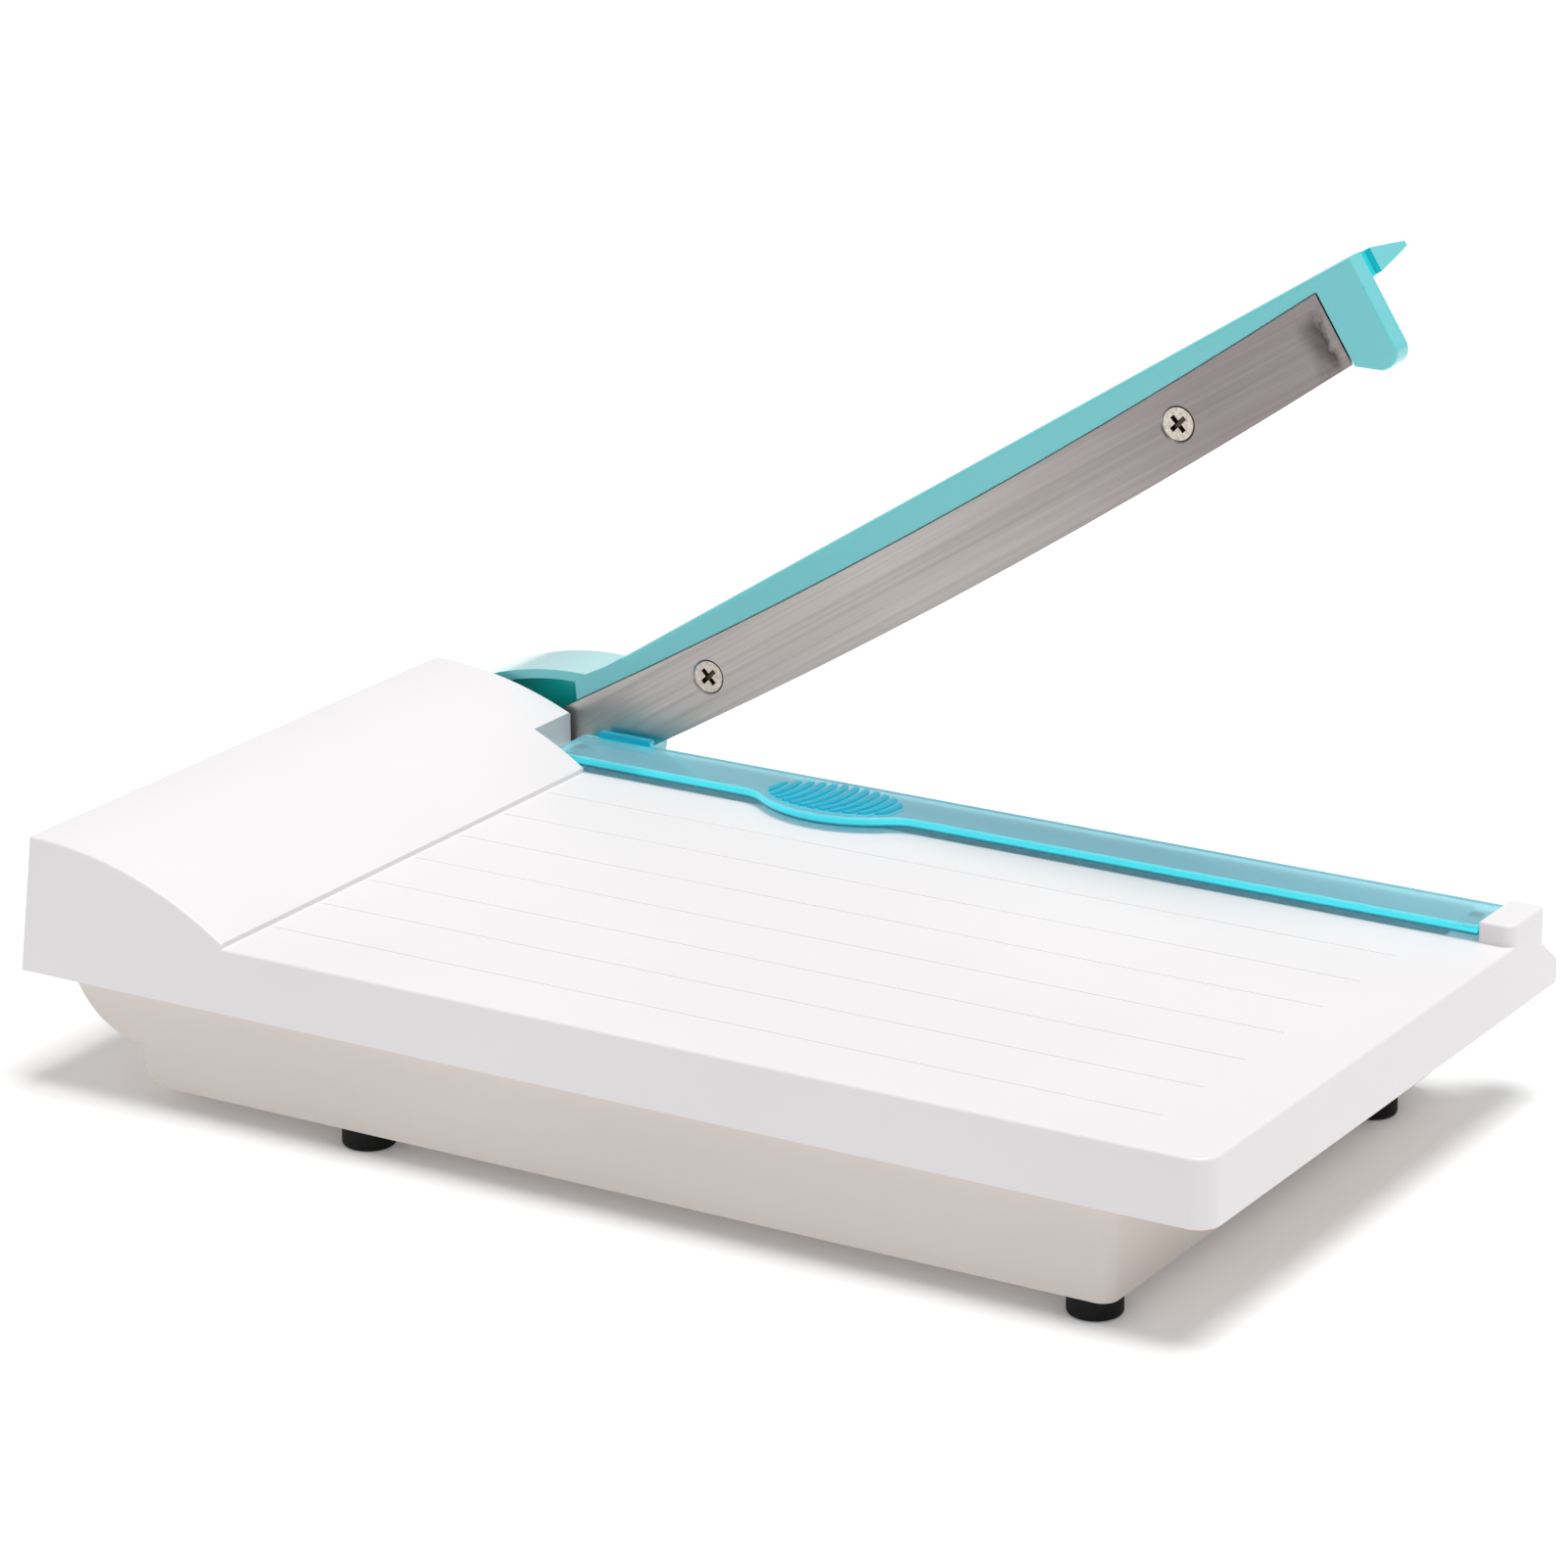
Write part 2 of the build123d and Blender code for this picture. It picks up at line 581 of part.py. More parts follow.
def clamp_spring(x):
    """Compression spring round one post, between its pocket's floor and the strip."""
    wire = 0.35
    height = STRIP_BOTTOM - SPRING_POCKET[1] - 2 * wire - 0.1
    coil = Helix(pitch=height / 5, height=height, radius=2.95)
    section = Plane(origin=coil @ 0, z_dir=coil % 0) * Circle(wire)
    wound = sweep(section, path=coil, is_frenet=True)
    return Pos(x, POST_Y, SPRING_POCKET[1] + wire + 0.05) * wound


# ---- Lever ---------------------------------------------------------------------------------
def raised(body):
    """Turn a piece drawn along X about the pivot, into its raised place."""
    return Pos(PIVOT_X, 0, PIVOT_Z) * Rot(0, -LEVER_ANGLE, 0) * body


def blade_middle(s):
    """Distance of the bowed blade's centre line from the lever's axis, at s along it."""
    reach = s - BLADE_BOW_S
    return BLADE_BOW_N + BLADE_BOW_RADIUS - math.sqrt(BLADE_BOW_RADIUS**2 - reach**2)


def bowed_strip(s_low, s_high, below, above):
    """Outline between two curves parallel to the blade's centre line."""
    middle = (s_low + s_high) / 2
    curves = [
        ThreePointArc(*[(s, blade_middle(s) + offset) for s in (s_low, middle, s_high)])
        for offset in (below, above)
    ]
    ends = [Line(curves[0] @ t, curves[1] @ t) for t in (0, 1)]
    return make_face(curves + ends)


def hub_outline():
    """The rounded hub behind the hump, joined to the lever's straight part."""
    crest = ThreePointArc((31.0, 16.0), (10.0, 26.4), (-12.0, 30.3))
    shoulder = ThreePointArc((-12.0, 30.3), (-21.4, 22.6), (-25.4, 9.0))
    low_left = ThreePointArc((-25.4, 9.0), (-19.6, -12.4), (0.0, -21.0))
    low_right = ThreePointArc((0.0, -21.0), (17.5, -18.6), (31.0, -8.0))
    close = Polyline((31.0, -8.0), (40.0, -6.0), (44.0, LEVER_TOP), (38.0, LEVER_TOP), (31.0, 16.0))
    return make_face([crest, shoulder, low_left, low_right, close])


def plate_outline():
    """The flat plate that backs the blade, down to the foot beyond the blade's end."""
    bottom = -BLADE_WIDTH / 2 + 1.6
    under = ThreePointArc(*[(s, blade_middle(s) + bottom) for s in (20.0, 150.0, BLADE_RIGHT + 0.6)])
    rim = Polyline(
        under @ 1,
        (BLADE_RIGHT + 0.6, LEVER_TOP - 8.0),
        (LEVER_END - 1.0, LEVER_TOP - 8.0),
        (LEVER_END - 1.0, LEVER_TOP - 1.5),
        (26.6, LEVER_TOP - 1.5),
        (24.9, 11.4),
        (20.0, 4.0),
        under @ 0,
    )
    return make_face([under, rim])


def end_block():
    """The thick end of the lever beyond the blade, with its rounded foot."""
    left = BLADE_RIGHT + 0.4
    outline = polygon(
        (left, blade_middle(BLADE_RIGHT) - BLADE_WIDTH / 2 - 0.6),
        (left + 6.4, LEVER_FOOT + 0.4),
        (LEVER_END, LEVER_FOOT),
        (LEVER_END, LEVER_TOP - 1.2),
        (left, LEVER_TOP - 1.2),
    )
    body = y_slab(outline, LEVER_FRONT, END_BLOCK_BACK)
    low = [e for e in body.edges().filter_by(Axis.Y) if e.center().Z < 0]
    low.sort(key=lambda e: e.center().X)
    body = fillet([low[-1]], 4.2)
    rims = [e for e in body.edges() if e.center().X > LEVER_END - 3 and e.center().Y < LEVER_FRONT + 0.01]
    return fillet(rims, 0.7)


def wing_section():
    """Y-Z section of the lever's top: the palm wing thins towards its back edge."""
    return polygon(
        (LEVER_FRONT, LEVER_TOP - 8.0),
        (LEVER_FRONT, LEVER_TOP - 1.2),
        (LEVER_FRONT + 0.35, LEVER_TOP - 0.35),
        (LEVER_FRONT + 1.2, LEVER_TOP),
        (WING_ROOT_Y, LEVER_TOP),
        (WING_TIP_Y, LEVER_TOP - 1.9),
        (WING_TIP_Y, LEVER_TOP - 3.2),
        (WING_TIP_Y - 5.0, LEVER_TOP - 4.2),
        (WING_ROOT_Y, LEVER_TOP - 6.4),
        (END_BLOCK_BACK, LEVER_TOP - 7.2),
        (PLATE_BACK, LEVER_TOP - 9.6),
        (LEVER_FRONT + 2, LEVER_TOP - 9.6),
    )


def wing():
    """The wing widens from the hub's depth to the palm end."""
    body = x_slab(wing_section(), HUB_END_S, LEVER_END)
    plan = polygon(
        (HUB_END_S, LEVER_FRONT - 1),
        (HUB_END_S, LEVER_BACK),
        (60.0, LEVER_BACK),
        (LEVER_END - 30.0, WING_TIP_Y),
        (LEVER_END, WING_TIP_Y),
        (LEVER_END, LEVER_FRONT - 1),
    )
    return body & z_slab(plan, 0, 30)


def arm_lever():
    plate = y_slab(plate_outline(), LEVER_FRONT, PLATE_BACK)
    body = plate + end_block() + wing()
    hub = hub_outline()
    cup = y_slab(hub, LEVER_FRONT, LEVER_BACK)
    hollow = offset(hub, amount=-HUB_RIM)
    cup -= y_slab(hollow, LEVER_FRONT - 1, HUB_WALL[0])
    cup -= y_slab(hollow, HUB_WALL[1], LEVER_BACK + 1)
    body += cup + y_slab(polygon(*HUB_STEP) & hub, LEVER_FRONT, HUB_WALL[1])
    for s in GUSSET_S:
        gusset = polygon(
            (PLATE_BACK - 1, blade_middle(s) - 5.5),
            (PLATE_BACK, blade_middle(s) - 5.5),
            (LEVER_BACK - 3.0, LEVER_TOP - 5.0),
            (PLATE_BACK - 1, LEVER_TOP - 5.0),
        )
        body += x_slab(gusset, s, s + GUSSET_THICKNESS)
    for s, n in BLADE_SCREWS:
        body += rod_y(s, n, 6.0, PLATE_BACK - 1, PLATE_BACK + 3.6)
    body += rod_y(0, 0, 7.5, BLADE_BACK + 0.05, BUSH_END - 0.05)
    body += rod_y(0, 0, 12.0, HUB_WALL[1] - 1, LEVER_BACK - 1.6)
    return arm_cuts(body)


def arm_cuts(body):
    """Blade seat, fastener holes, the ring round the pivot nut and the groove in the end."""
    half = BLADE_WIDTH / 2
    seat = bowed_strip(BLADE_LEFT - 24.0, BLADE_RIGHT + BLADE_GAP, -half - 12, half + BLADE_GAP)
    body -= y_slab(seat, LEVER_FRONT - 2, BLADE_BACK + 0.05)
    for s, n in BLADE_SCREWS:
        body -= rod_y(s, n, 2.2, 170, 195)
        body -= rod_y(s, n, 3.6, BLADE_BACK - 1, BLADE_BACK + 0.9)
        body -= hex_y(s, n, 7.2, PLATE_BACK + 0.2, PLATE_BACK + 5)
    ring = rod_y(0, 0, 10.0, BUSH_END - 0.05, LEVER_BACK + 1)
    ring += rod_y(0, 0, 10.0, HUB_WALL[1], LEVER_BACK + 1) - rod_y(0, 0, 7.5, 170, LEVER_BACK + 2)
    body -= ring
    body -= rod_y(0, 0, 4.5, 170, 200)
    groove = block(
        (LEVER_END - END_GROOVE_DEPTH, END_BLOCK_BACK, LEVER_TOP - 9),
        (LEVER_END + 1, WING_ROOT_Y, LEVER_TOP + 1),
    )
    return body - groove


def cutting_blade():
    half = BLADE_WIDTH / 2
    blade = y_slab(bowed_strip(BLADE_LEFT, BLADE_RIGHT, -half, half), BLADE_FRONT, BLADE_BACK)
    back_low = [
        e
        for e in blade.edges()
        if abs(e.center().Y - BLADE_BACK) < 0.01 and e.length > 200 and e.center().Z < 0
    ]
    blade = chamfer(back_low, 1.1, 2.4)
    blade -= rod_y(0, 0, BOLT_RADIUS + 0.09, 170, 190)
    for s, n in BLADE_SCREWS:
        blade -= screw_sink(s, n, 4.75)
    return blade


def screw_sink(s, n, radius):
    """Countersink cutter whose mouth is at the blade's front face."""
    cone = Cone(radius, radius - 2.2, 2.2)
    sink = Pos(s, BLADE_FRONT + 1.1, n) * Rot(-90, 0, 0) * cone
    return sink + rod_y(s, n, 2.2, 170, 195)


def blade_screws():
    screws = []
    face = BLADE_FRONT + SCREW_SINK
    for s, n in BLADE_SCREWS:
        head = Pos(s, face + 1.075, n) * Rot(-90, 0, 0) * Cone(4.15, 2.0, 2.15)
        shank = rod_y(s, n, 2.0, BLADE_FRONT + 1, PLATE_BACK + 4.4)
        cross = Pos(s, face, n) * Rot(90, 0, 0) * Rot(0, 0, 12) * Pos(0, 0, -2.4) * cross_recess(4.5, 2.4)
        screws.append(raised(head + shank - cross))
    return screws


def blade_nuts():
    nuts = []
    for s, n in BLADE_SCREWS:
        nut = hex_y(s, n, 7.0, PLATE_BACK + 0.25, PLATE_BACK + 3.45)
        nuts.append(raised(nut - rod_y(s, n, 2.02, 170, 195)))
    return nuts


# ---- Pivot ---------------------------------------------------------------------------------
def pivot_bracket():
    """Steel angle inside the hump that carries the pivot bolt."""
    left, right = BRACKET_X
    top = BRACKET_SHELF + 2.0
    upright = block((left, BRACKET[0], PIVOT_Z - 3.3), (right, BRACKET[1], top))
    shelf = block((left, BRACKET_SCREW_Y - 6, BRACKET_SHELF), (right, BRACKET[1], top))
    angle = upright + shelf
    angle -= rod_y(PIVOT_X, PIVOT_Z, BOLT_RADIUS + 0.05, 160, 190)
    for x in BRACKET_SCREW_X:
        angle -= rod_z(x, BRACKET_SCREW_Y, 1.6, 0, HUMP_TOP)
    return angle


def bracket_screws():
    screw = pan_screw(THREAD, 6.5, *SCREW_HEAD)
    spots = [Pos(x, BRACKET_SCREW_Y, BRACKET_SHELF) for x in BRACKET_SCREW_X]
    return [spot * Rot(180, 0, 0) * screw for spot in spots]


def pivot_bolt():
    bolt = hex_y(PIVOT_X, PIVOT_Z, NUT_ACROSS_FLATS, BRACKET[0] - 4.0, BRACKET[0])
    shank = rod_y(PIVOT_X, PIVOT_Z, BOLT_RADIUS, BRACKET[0] - 1, BOLT_END)
    shank = chamfer(shank.edges().group_by(Axis.Y)[-1], 0.5)
    return bolt + shank


def pivot_ring(outer, bore, y_low, y_high):
    return rod_y(PIVOT_X, PIVOT_Z, outer, y_low, y_high) - rod_y(PIVOT_X, PIVOT_Z, bore, 150, 210)


def spring_washer():
    """Disc spring that keeps the lever's hub pressed against the casing."""
    low = BUSH_END + 0.05
    section = polygon((3.15, low + 0.75), (6.2, low), (6.2, low + 0.7), (3.15, low + 1.45))
    cone = revolve(Plane.XY * section, Axis.Y)
    return Pos(PIVOT_X, 0, PIVOT_Z) * cone


def lock_nut():
    nut = hex_y(PIVOT_X, PIVOT_Z, NUT_ACROSS_FLATS, NUT_START, NUT_START + 5.0)
    return nut - rod_y(PIVOT_X, PIVOT_Z, BOLT_RADIUS + 0.02, 150, 210)


def pivot_bush():
    tube = rod_y(0, 0, 4.48, BLADE_BACK + 0.1, BUSH_END)
    return tube - rod_y(0, 0, BOLT_RADIUS + 0.03, 150, 210)


def pivot_cap():
    """Round cover pushed into the ring round the pivot nut."""
    lid = rod_y(0, 0, CAP_RADIUS, LEVER_BACK - 1.55, LEVER_BACK - 0.1)
    lid = fillet(lid.edges().group_by(Axis.Y)[-1], 0.9)
    skirt = rod_y(0, 0, 9.9, LEVER_BACK - 6.5, LEVER_BACK - 1.5)
    skirt -= rod_y(0, 0, 8.6, LEVER_BACK - 7.5, LEVER_BACK - 1.55)
    return lid + skirt


def make_pieces():
    pieces = {
        "top_casing": top_casing(),
        "bottom_tray": bottom_tray(),
        "casing_screws": casing_screws(),
        "foot_front_left": foot(FOOT_X[0], FOOT_Y[0]),
        "foot_front_right": foot(FOOT_X[1], FOOT_Y[0]),
        "foot_back_left": foot(FOOT_X[0], FOOT_Y[1]),
        "foot_back_right": foot(FOOT_X[1], FOOT_Y[1]),
        "foot_screws": foot_screws(),
        "fixed_blade": fixed_blade(),
        "fixed_blade_screws": fixed_blade_screws(),
        "clamp_strip": clamp_strip(),
        "clamp_washers": clamp_washers(),
        "clamp_screws": clamp_screws(),
        "clamp_spring_left": clamp_spring(POST_X[0]),
        "clamp_spring_right": clamp_spring(POST_X[1]),
        "arm_lever": raised(arm_lever()),
        "cutting_blade": raised(cutting_blade()),
        "blade_screws": blade_screws(),
        "blade_nuts": blade_nuts(),
        "pivot_bracket": pivot_bracket(),
        "bracket_screws": bracket_screws(),
        "pivot_bolt": pivot_bolt(),
        "thrust_washer": pivot_ring(7.0, BOLT_RADIUS + 0.05, PIVOT_PAD_FACE + 0.02, BLADE_FRONT - 0.05),
        "spring_washer": spring_washer(),
        "flat_washer": pivot_ring(6.0, BOLT_RADIUS + 0.05, BUSH_END + 1.55, BUSH_END + 2.55),
        "lock_nut": lock_nut(),
        "pivot_bush": raised(pivot_bush()),
        "pivot_cap": raised(pivot_cap()),
    }
    return pieces


def export(pieces):
    """Write one STEP file for each piece, about an origin under the middle of the object."""
    os.makedirs("parts", exist_ok=True)
    home = Pos(-(BASE_LEFT + BASE_RIGHT) / 2, -TOTAL_DEPTH / 2, 0)
    for name, shape in pieces.items():
        solids = shape if isinstance(shape, list) else [shape]
        placed = [home * s for body in solids for s in body.solids()]
        export_step(placed[0] if len(placed) == 1 else Compound(children=placed), f"parts/{name}.step")


export(make_pieces())
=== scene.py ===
"""Looks for the lever trimmer: camera, studio, and a procedural material for every CAD node."""

import json
import math

import bpy
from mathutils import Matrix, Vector


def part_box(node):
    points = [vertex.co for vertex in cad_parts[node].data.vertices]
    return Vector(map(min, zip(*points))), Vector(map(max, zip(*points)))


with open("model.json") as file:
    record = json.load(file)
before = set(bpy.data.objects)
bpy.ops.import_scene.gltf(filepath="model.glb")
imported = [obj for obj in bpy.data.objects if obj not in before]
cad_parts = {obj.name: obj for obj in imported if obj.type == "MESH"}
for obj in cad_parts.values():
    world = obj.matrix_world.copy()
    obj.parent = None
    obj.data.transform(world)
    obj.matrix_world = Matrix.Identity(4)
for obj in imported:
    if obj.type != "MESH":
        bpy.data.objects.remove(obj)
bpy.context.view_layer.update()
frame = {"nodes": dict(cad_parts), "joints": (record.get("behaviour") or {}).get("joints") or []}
NODES = frame["nodes"]

# Lever at rest, as the CAD stores it: its pivot and the angle it is raised by.
PIVOT = Vector(next(j["pos_m"] for j in frame["joints"] if j["name"] == "lever_pivot"))
LEVER_ANGLE = math.radians(32.6)
LEVER_FRONT_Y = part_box("arm_lever")[0].y
# Distances from the pivot to the blade's end and the lever's end, and the depth of its groove.
BLADE_END = 0.2752
LEVER_END = 0.2876
END_GROOVE = 0.0016
# Past this distance from the pivot, a face in the groove's band is the groove's own.
GROOVE_REACH = LEVER_END - END_GROOVE - 0.0002
# Depths in Y of the lever's end groove, of the floor of its hollow, and of the blade screws' heads.
GROOVE_BAND = (LEVER_FRONT_Y + 0.0063, LEVER_FRONT_Y + 0.0117)
HOLLOW_BAND = (LEVER_FRONT_Y + 0.0042, LEVER_FRONT_Y + 0.0056)
BLADE_SCREW_FACE_Y = LEVER_FRONT_Y + 0.00017
# How far below a screw's face the painted shade in its recess starts and is fully dark.
RECESS_SHADE_FADE = (0.00012, 0.0004)
# Along the blade from the pivot: where it starts to darken and is darkest.
BLADE_DARKENS = (0.13, 0.235)
# The smudge near the blade's end: where it fades in and out, how wide it is, how far it wanders.
SMUDGE_FADES_IN = (BLADE_END - 0.0100, BLADE_END - 0.0034)
SMUDGE_FADES_OUT = (BLADE_END - 0.0032, BLADE_END - 0.0014)
SMUDGE_HALF_WIDTH = (0.0050, 0.0085)
SMUDGE_DRIFT = 0.006
# Moves the lever's turned coordinates so that they start at its pivot.
LEVER_HOME = (
    -(PIVOT.x * math.cos(LEVER_ANGLE) + PIVOT.z * math.sin(LEVER_ANGLE)),
    0.0,
    PIVOT.x * math.sin(LEVER_ANGLE) - PIVOT.z * math.cos(LEVER_ANGLE),
)
# The clamp strip's flat top lies 2 mm below its rim, and the strip is 2.6 mm thick.
STRIP_TOP_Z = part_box("clamp_strip")[1].z - 0.0020
STRIP_BOTTOM_Z = STRIP_TOP_Z - 0.0026
# The painted shade at the foot and the painted highlight at the top of the strip's cut edge, each as
# heights where it fades.
STRIP_FOOT_SHADE_FADE = (STRIP_BOTTOM_Z + 0.0004, STRIP_BOTTOM_Z + 0.0009)
STRIP_TOP_HIGHLIGHT_FADE = (STRIP_TOP_Z - 0.0009, STRIP_TOP_Z - 0.0003)
# A mask reaches this far past the face that it covers.
MASK_MARGIN = 0.0001

# Camera: place, from the casing's front left corner, and angles.
CAMERA_PLACE = Vector((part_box("top_casing")[0].x + 0.8373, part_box("top_casing")[0].y - 1.0317, 0.5080))
CAMERA_AZIMUTH = math.radians(31.02)
CAMERA_ELEVATION = math.radians(18.16)
CAMERA_LENS_MM = 132.07
SENSOR_WIDTH_MM = 36.0

# Studio: one round light overhead, a white surround and a floor that glows a little.
KEY_PLACE = (0.6, 0.2, 4.8)
KEY_TARGET = (0, 0, 0.05)
KEY_DIAMETER = 2.6
KEY_WATTS = 185.0
WORLD_STRENGTH = 0.42
FLOOR_HALF = 6.0
FLOOR_GLOW = 0.1
WHITE = (1.0, 1.0, 1.0, 1.0)


# ---- Node helpers ----------------------------------------------------------------------------
def srgb(r, g, b):
    """A 0-255 sRGB colour as linear RGBA."""
    def one(c):
        c = c / 255
        return c / 12.92 if c <= 0.04045 else ((c + 0.055) / 1.055) ** 2.4
    return (one(r), one(g), one(b), 1.0)


class Shader:
    """A material with short ways to add and join its nodes."""

    def __init__(self, name, **sockets):
        self.material = bpy.data.materials.new(name)
        self.material.use_nodes = True
        self.tree = self.material.node_tree
        self.bsdf = self.tree.nodes["Principled BSDF"]
        for socket, value in sockets.items():
            self.bsdf.inputs[socket.replace("_", " ")].default_value = value

    def node(self, kind, inputs=None, **settings):
        made = self.tree.nodes.new(kind)
        for key, value in settings.items():
            setattr(made, key, value)
        for key, value in (inputs or {}).items():
            if isinstance(value, bpy.types.NodeSocket):
                self.tree.links.new(value, made.inputs[key])
            else:
                made.inputs[key].default_value = value
        return made

    def link(self, output, socket):
        self.tree.links.new(output, self.bsdf.inputs[socket])

    def coords(self, scale=(1, 1, 1), rotation=(0, 0, 0), location=(0, 0, 0)):
        """Object coordinates, turned and moved first and stretched after."""
        place = self.node("ShaderNodeTexCoord").outputs["Object"]
        inputs = {"Vector": place, "Rotation": rotation, "Location": location}
        turned = self.node("ShaderNodeMapping", inputs).outputs["Vector"]
        return self.node("ShaderNodeMapping", {"Vector": turned, "Scale": scale}).outputs["Vector"]

    def lever_coords(self):
        """Coordinates that start at the pivot, with X along the lever at rest."""
        return self.coords(rotation=(0, LEVER_ANGLE, 0), location=LEVER_HOME)

    def noise(self, vector, scale, detail=2.0, roughness=0.5):
        inputs = {"Vector": vector, "Scale": scale, "Detail": detail, "Roughness": roughness}
        return self.node("ShaderNodeTexNoise", inputs).outputs["Fac"]

    def spread(self, value, low, high, from_low=0.3, from_high=0.7):
        """A value mapped from one range to another, clamped."""
        inputs = {
            "Value": value,
            "From Min": from_low,
            "From Max": from_high,
            "To Min": low,
            "To Max": high,
        }
        return self.node("ShaderNodeMapRange", inputs).outputs["Result"]

    def mix(self, factor, a, b):
        made = self.node("ShaderNodeMix", data_type="RGBA")
        for socket, value in ((made.inputs[0], factor), (made.inputs[6], a), (made.inputs[7], b)):
            if isinstance(value, bpy.types.NodeSocket):
                self.tree.links.new(value, socket)
            else:
                socket.default_value = value
        return made.outputs[2]

    def math(self, operation, a, b=0.0):
        made = self.node("ShaderNodeMath", {0: a, 1: b}, operation=operation)
        return made.outputs[0]

    def axis(self, vector, index):
        """One coordinate of a vector."""
        return self.node("ShaderNodeSeparateXYZ", {0: vector}).outputs[index]

    def normal_axis(self, index):
        """One coordinate of the surface's normal, in the object's own frame."""
        normal = self.node("ShaderNodeTexCoord").outputs["Normal"]
        return self.axis(normal, index)

    def band(self, value, low, high):
        """1 where a value lies between two limits."""
        above = self.math("GREATER_THAN", value, low)
        return self.math("MULTIPLY", above, self.math("LESS_THAN", value, high))

    def bump(self, height, strength, distance):
        inputs = {"Height": height, "Strength": strength, "Distance": distance}
        made = self.node("ShaderNodeBump", inputs)
        self.link(made.outputs["Normal"], "Normal")


# ---- Materials -------------------------------------------------------------------------------
def moulded_plastic(name, colour, shade, roughness, grain=2600):
    """Opaque injection-moulded plastic: faint colour drift and a fine spark-eroded skin."""
    s = Shader(name)
    s.bsdf.inputs["IOR"].default_value = 1.46
    flat = s.coords()
    drift = s.spread(s.noise(flat, 9, 3.0), 0, 1)
    s.link(s.mix(drift, colour, shade), "Base Color")
    skin = s.noise(flat, grain, 3.0, 0.6)
    s.link(s.spread(skin, roughness - 0.04, roughness + 0.06), "Roughness")
    s.bump(skin, 0.12, 0.0001)
    return s.material


def foot_rubber():
    """Nearly black rubber with a rough, pitted skin."""
    s = Shader("foot_rubber")
    s.bsdf.inputs["Specular IOR Level"].default_value = 0.25
    flat = s.coords()
    skin = s.noise(flat, 1800, 4.0, 0.7)
    s.link(s.mix(s.spread(skin, 0, 1), srgb(8, 8, 9), srgb(14, 14, 14)), "Base Color")
    s.link(s.spread(skin, 0.55, 0.8), "Roughness")
    s.bump(skin, 0.35, 0.0002)
    return s.material


def turned_metal(name, colour, shade, roughness):
    """Small plated or turned parts: fine mottling in colour and gloss."""
    s = Shader(name, Metallic=1.0)
    flat = s.coords()
    mottle = s.noise(flat, 700, 3.0)
    s.link(s.mix(s.spread(mottle, 0, 1), colour, shade), "Base Color")
    s.link(s.spread(mottle, roughness - 0.08, roughness + 0.08), "Roughness")
    s.bump(s.noise(flat, 2200, 2.0), 0.1, 0.0001)
    return s.material


def recessed_screw():
    """Bright plated heads in the blade, with painted shade in the cross recess and round the rim."""
    s = Shader("blade_screw", Metallic=0.85)
    flat = s.coords()
    mottle = s.noise(flat, 900, 3.0)
    plating = s.mix(s.spread(mottle, 0, 1), srgb(226, 217, 205), srgb(190, 180, 168))
    # Painted shade: dark brown below the screw's face, in the cross recess and round the rim.
    depth = s.math("SUBTRACT", s.axis(flat, 1), BLADE_SCREW_FACE_Y)
    painted_recess_shade = s.spread(depth, 0, 1, *RECESS_SHADE_FADE)
    s.link(s.mix(painted_recess_shade, plating, srgb(84, 70, 62)), "Base Color")
    s.link(s.spread(mottle, 0.24, 0.36), "Roughness")
    s.bump(s.noise(flat, 2400, 2.0), 0.12, 0.0001)
    return s.material


def brushed_steel(name, colour, shade, angle, roughness=0.34):
    """Steel strip ground along its length, which lies at an angle in the X-Z plane."""
    s = Shader(name, Metallic=1.0)
    s.bsdf.inputs["Anisotropic"].default_value = 0.4
    along = s.coords(scale=(6, 900, 900), rotation=(0, angle, 0))
    scratch = s.noise(along, 1.0, 4.0, 0.65)
    broad = s.noise(s.coords(scale=(4, 60, 60), rotation=(0, angle, 0)), 1.0, 2.0)
    tone = s.mix(s.spread(scratch, 0, 1, 0.25, 0.75), colour, shade)
    tone = s.mix(s.spread(broad, 0, 0.35), tone, shade)
    s.link(s.spread(scratch, roughness - 0.08, roughness + 0.12), "Roughness")
    s.bump(scratch, 0.15, 0.0001)
    return s, tone


def cutting_blade_steel():
    """The moving blade: brushed, darker towards its far end, with a smudge before its tip."""
    s, tone = brushed_steel("blade_steel", srgb(198, 194, 190), srgb(178, 174, 170), LEVER_ANGLE)
    local = s.lever_coords()
    centred = s.math("SUBTRACT", s.noise(local, 260, 4.0, 0.6), 0.5)
    drift = s.math("MULTIPLY", centred, SMUDGE_DRIFT)
    reach = s.math("ADD", s.axis(local, 0), drift)
    across = s.math("ABSOLUTE", s.math("ADD", s.axis(local, 2), drift))
    far_end = s.spread(s.axis(local, 0), 0, 0.8, *BLADE_DARKENS)
    tone = s.mix(far_end, tone, srgb(136, 125, 126))
    rising = s.spread(reach, 0, 1, *SMUDGE_FADES_IN)
    falling = s.spread(reach, 1, 0, *SMUDGE_FADES_OUT)
    middle = s.spread(across, 1, 0, *SMUDGE_HALF_WIDTH)
    smudge = s.math("MULTIPLY", s.math("MULTIPLY", rising, falling), middle)
    tone = s.mix(s.math("MULTIPLY", smudge, 0.8), tone, srgb(62, 54, 56))
    s.link(tone, "Base Color")
    return s.material


def fixed_edge_steel():
    """The fixed blade: paler and duller than the moving one, ground along X."""
    s, tone = brushed_steel("edge_steel", srgb(222, 224, 227), srgb(198, 200, 204), 0.0, 0.46)
    s.link(tone, "Base Color")
    return s.material


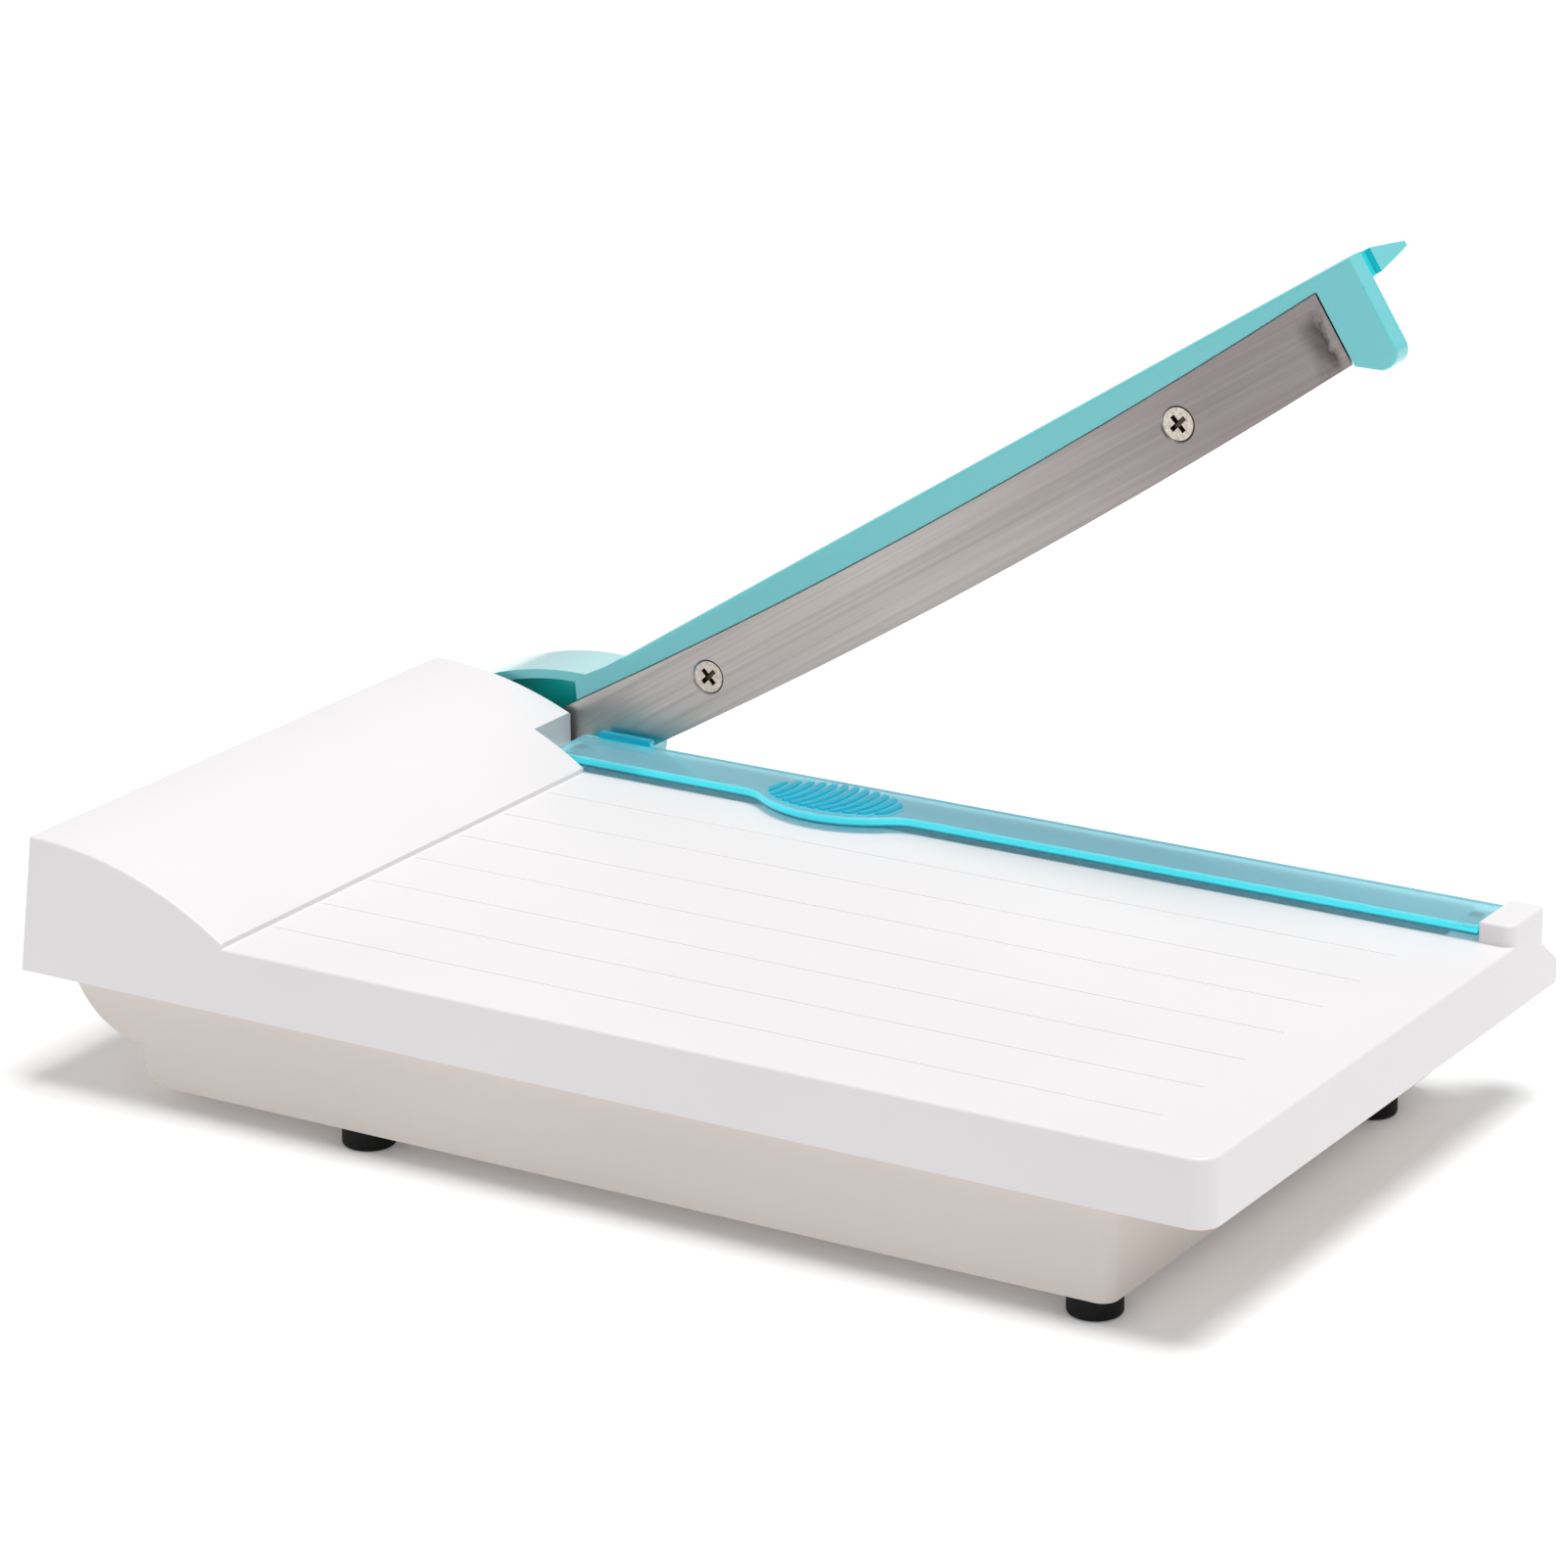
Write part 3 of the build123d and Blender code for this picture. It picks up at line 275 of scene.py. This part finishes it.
def lever_teal():
    """Milky teal plastic with a polished skin, with a painted highlight on its upward faces, painted shade
    in its hollow and painted light in its groove.
    """
    s = Shader("lever_teal")
    s.bsdf.inputs["IOR"].default_value = 1.5
    s.bsdf.inputs["Coat Weight"].default_value = 0.6
    s.bsdf.inputs["Coat Roughness"].default_value = 0.12
    s.bsdf.inputs["Subsurface Weight"].default_value = 0.1
    s.bsdf.inputs["Subsurface Radius"].default_value = (0.3, 1.0, 1.0)
    s.bsdf.inputs["Subsurface Scale"].default_value = 0.002
    flat = s.coords()
    depth = s.axis(flat, 1)
    drift = s.spread(s.noise(flat, 14, 2.0), 0, 1)
    tone = s.mix(drift, srgb(112, 212, 217), srgb(121, 217, 222))
    # Painted highlight: faces that point upward are paler, as if lit from above.
    painted_top_highlight = s.spread(s.normal_axis(2), 0, 0.75, 0.6, 0.97)
    tone = s.mix(painted_top_highlight, tone, srgb(206, 242, 244))
    # Painted shade: the front-facing floor of the hollow in a deep saturated teal, as if in the hollow's
    # shadow.
    hollow = s.band(depth, *HOLLOW_BAND)
    facing = s.math("GREATER_THAN", s.math("MULTIPLY", s.normal_axis(1), -1.0), 0.9)
    tone = s.mix(s.math("MULTIPLY", hollow, facing), tone, srgb(0, 214, 208))
    # Painted light: the end groove in a brighter, saturated cyan, as if light shows through thin plastic
    # there.
    reach = s.axis(s.lever_coords(), 0)
    tip = s.math("GREATER_THAN", reach, GROOVE_REACH)
    groove = s.math("MULTIPLY", s.band(depth, *GROOVE_BAND), tip)
    s.link(s.mix(groove, tone, srgb(48, 214, 226)), "Base Color")
    skin = s.noise(flat, 900, 2.0)
    s.link(s.spread(skin, 0.18, 0.26), "Roughness")
    return s.material


def clamp_blue():
    """Clear blue acrylic with a painted glow at its cut edges and ribs, and faint flow marks."""
    s = Shader("clamp_blue")
    s.bsdf.inputs["IOR"].default_value = 1.49
    s.bsdf.inputs["Transmission Weight"].default_value = 0.7
    flow = s.noise(s.coords(scale=(12, 90, 90)), 1.0, 2.0)
    body = s.mix(s.spread(flow, 0, 1), srgb(172, 237, 251), srgb(181, 241, 252))
    height = s.axis(s.coords(), 2)
    upright = s.math("LESS_THAN", s.math("ABSOLUTE", s.normal_axis(2)), 0.85)
    raised = s.math("GREATER_THAN", height, STRIP_TOP_Z + MASK_MARGIN)
    slab = s.band(height, STRIP_BOTTOM_Z - MASK_MARGIN, STRIP_TOP_Z + MASK_MARGIN)
    # Painted shade at the foot of the cut edge, a painted glow above it and a painted highlight along its
    # top.
    edge = s.math("MULTIPLY", upright, slab)
    painted_edge_light = s.spread(height, 0, 1, *STRIP_FOOT_SHADE_FADE)
    painted_edge_highlight = s.spread(height, 0, 0.6, *STRIP_TOP_HIGHLIGHT_FADE)
    painted_edge_tone = s.mix(painted_edge_highlight, s.mix(painted_edge_light, srgb(12, 92, 116), srgb(60, 226, 236)), srgb(214, 250, 252))
    # Painted light: the raised ribs and rim in a brighter, saturated cyan.
    tone = s.mix(raised, body, srgb(30, 206, 232))
    s.link(s.mix(edge, tone, painted_edge_tone), "Base Color")
    # Painted glow: the whole strip emits light, most at its ribs, rim and cut edge, though it is no lamp.
    painted_glow = s.mix(raised, srgb(44, 66, 72), srgb(0, 120, 140))
    painted_edge_glow = s.mix(painted_edge_light, (0, 0, 0, 1), srgb(36, 212, 224))
    s.link(s.mix(edge, painted_glow, painted_edge_glow), "Emission Color")
    s.bsdf.inputs["Emission Strength"].default_value = 0.34
    s.link(s.spread(flow, 0.10, 0.18), "Roughness")
    return s.material


def paint(material, *names):
    """Gives the named CAD nodes one material."""
    for name in names:
        mesh = NODES[name].data
        mesh.materials.clear()
        mesh.materials.append(material)


def dress_nodes():
    casing = moulded_plastic("casing_white", srgb(240, 237, 238), srgb(236, 233, 234), 0.38)
    tray = moulded_plastic("tray_white", srgb(223, 214, 208), srgb(218, 209, 203), 0.42)
    zinc = turned_metal("zinc_screw", srgb(196, 196, 194), srgb(168, 168, 166), 0.3)
    plated = turned_metal("plated_steel", srgb(186, 187, 188), srgb(160, 161, 163), 0.34)
    spring = turned_metal("spring_steel", srgb(150, 150, 152), srgb(122, 122, 124), 0.32)
    brass = turned_metal("bush_brass", srgb(212, 180, 112), srgb(188, 154, 88), 0.3)
    teal = lever_teal()
    feet = [n for n in NODES if n.startswith("foot_") and n != "foot_screws"]
    paint(casing, "top_casing")
    paint(tray, "bottom_tray")
    paint(foot_rubber(), *feet)
    paint(zinc, "casing_screws", "foot_screws", "fixed_blade_screws", "clamp_screws")
    paint(zinc, "bracket_screws")
    paint(recessed_screw(), "blade_screws")
    paint(plated, "clamp_washers", "blade_nuts", "pivot_bracket", "pivot_bolt", "thrust_washer")
    paint(plated, "flat_washer", "lock_nut")
    paint(spring, "clamp_spring_left", "clamp_spring_right", "spring_washer")
    paint(brass, "pivot_bush")
    paint(cutting_blade_steel(), "cutting_blade")
    paint(fixed_edge_steel(), "fixed_blade")
    paint(teal, "arm_lever", "pivot_cap")
    paint(clamp_blue(), "clamp_strip")


# ---- Studio ----------------------------------------------------------------------------------
def add_camera():
    data = bpy.data.cameras.new("camera")
    data.lens = CAMERA_LENS_MM
    data.sensor_width = SENSOR_WIDTH_MM
    data.clip_start = 0.05
    data.clip_end = 50.0
    camera = bpy.data.objects.new("camera", data)
    bpy.context.scene.collection.objects.link(camera)
    camera.location = CAMERA_PLACE
    camera.rotation_euler = (math.pi / 2 - CAMERA_ELEVATION, 0, CAMERA_AZIMUTH)
    bpy.context.scene.camera = camera


def add_key_light():
    data = bpy.data.lights.new("key", "AREA")
    data.shape = "DISK"
    data.size = KEY_DIAMETER
    data.energy = KEY_WATTS
    light = bpy.data.objects.new("key", data)
    bpy.context.scene.collection.objects.link(light)
    light.location = KEY_PLACE
    aim = Vector(KEY_TARGET) - Vector(KEY_PLACE)
    light.rotation_euler = aim.to_track_quat("-Z", "Y").to_euler()


def add_floor():
    half = FLOOR_HALF
    mesh = bpy.data.meshes.new("floor")
    corners = [(-half, -half, 0), (half, -half, 0), (half, half, 0), (-half, half, 0)]
    mesh.from_pydata(corners, [], [(0, 1, 2, 3)])
    floor = bpy.data.objects.new("floor", mesh)
    bpy.context.scene.collection.objects.link(floor)
    s = Shader("floor", Base_Color=srgb(252, 252, 252), Roughness=0.9)
    s.bsdf.inputs["Emission Color"].default_value = WHITE
    s.bsdf.inputs["Emission Strength"].default_value = FLOOR_GLOW
    mesh.materials.append(s.material)


def add_world():
    world = bpy.data.worlds.new("studio")
    bpy.context.scene.world = world
    world.use_nodes = True
    back = world.node_tree.nodes["Background"]
    back.inputs["Color"].default_value = WHITE
    back.inputs["Strength"].default_value = WORLD_STRENGTH


def add_studio():
    add_world()
    add_floor()
    add_key_light()
    bpy.context.scene.view_settings.view_transform = "Standard"


dress_nodes()
add_camera()
add_studio()
